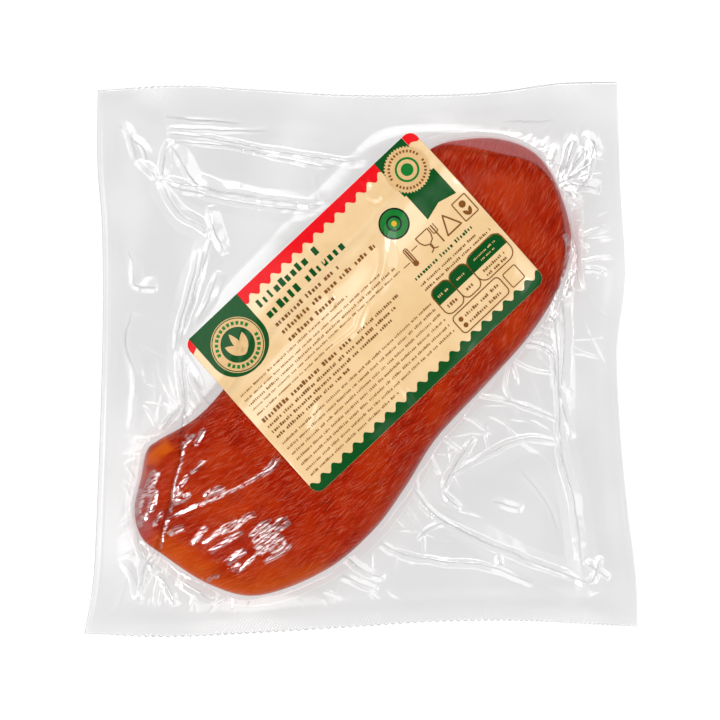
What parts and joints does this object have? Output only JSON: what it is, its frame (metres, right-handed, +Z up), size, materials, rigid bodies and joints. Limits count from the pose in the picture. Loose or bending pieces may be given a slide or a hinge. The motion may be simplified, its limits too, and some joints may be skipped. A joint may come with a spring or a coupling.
{
  "type": "pack of pork carpaccio",
  "caption": "Clear square vacuum pouch drawn tight over a tapering block of smoked pork, with creased flat margins and a plain patterned paper label stuck across the top.",
  "frame": {"origin": "on the table, under the middle of the pouch's outline", "axes": "+Z up out of the labelled side, +X along the pouch's wide bottom edge to the right, +Y up its sides away from that edge"},
  "size_m": [0.2, 0.2005, 0.0292],
  "materials": {
    "clear_film": "clear glossy film",
    "cured_pork": "moist smoked lean meat",
    "label_paper": "smooth brown paper",
    "label_print": "matt printing ink"
  },
  "bodies": {
    "root": {"pouch": "clear_film", "label": "label_paper"}
  },
  "joints": []
}
